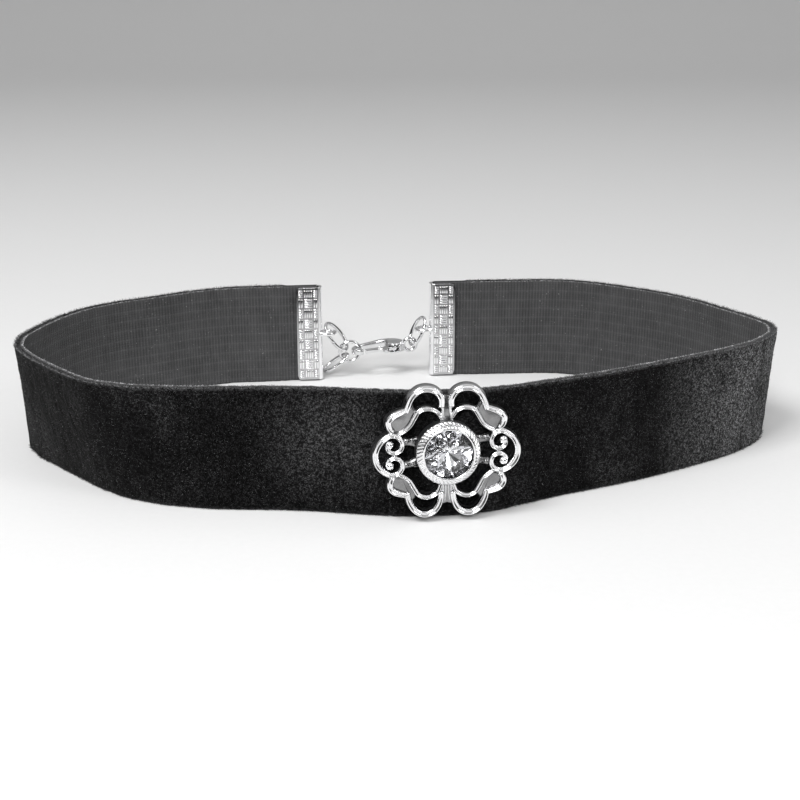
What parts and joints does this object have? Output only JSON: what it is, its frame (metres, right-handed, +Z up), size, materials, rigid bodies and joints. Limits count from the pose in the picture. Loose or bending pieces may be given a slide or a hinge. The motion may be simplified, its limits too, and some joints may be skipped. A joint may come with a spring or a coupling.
{
  "type": "choker necklace",
  "caption": "Velvet ribbon choker standing on its edge, with a filigree rosette and round stone at the front and a clasp at the back.",
  "frame": {"origin": "centre of the bounding box in plan, on the surface that the ribbon's lower edge stands on", "axes": "+Z up across the ribbon's width, -Y towards the rosette, +X towards the side of the clamp that carries the clasp"},
  "size_m": [0.1344, 0.0806, 0.0216],
  "materials": {
    "velvet": "black cut velvet outside, plain dark grey woven back",
    "silver": "bright silver-coloured plating",
    "rosette_silver": "polished silver-coloured casting, darker in its recesses",
    "crystal": "clear faceted glass stone"
  },
  "bodies": {
    "choker": {"ribbon": "velvet", "clamp_left": "silver", "clamp_right": "silver", "rosette": "rosette_silver", "crystal": "crystal", "ring_right": "silver", "ring_left": "silver", "ring_clasp": "silver", "tail_link": "silver", "clasp_body": "silver"},
    "lever": {"clasp_lever": "silver"}
  },
  "joints": [
    {"name": "lever_hinge", "type": "hinge", "parent": "choker", "child": "lever", "pos_m": [-0.00165, 0.0367, 0.00596], "axis": [0.0663, 0, -0.9978], "range_deg": [0, 22], "stiffness_Nm_per_rad": 0.01, "springref_deg": -11.46}
  ]
}
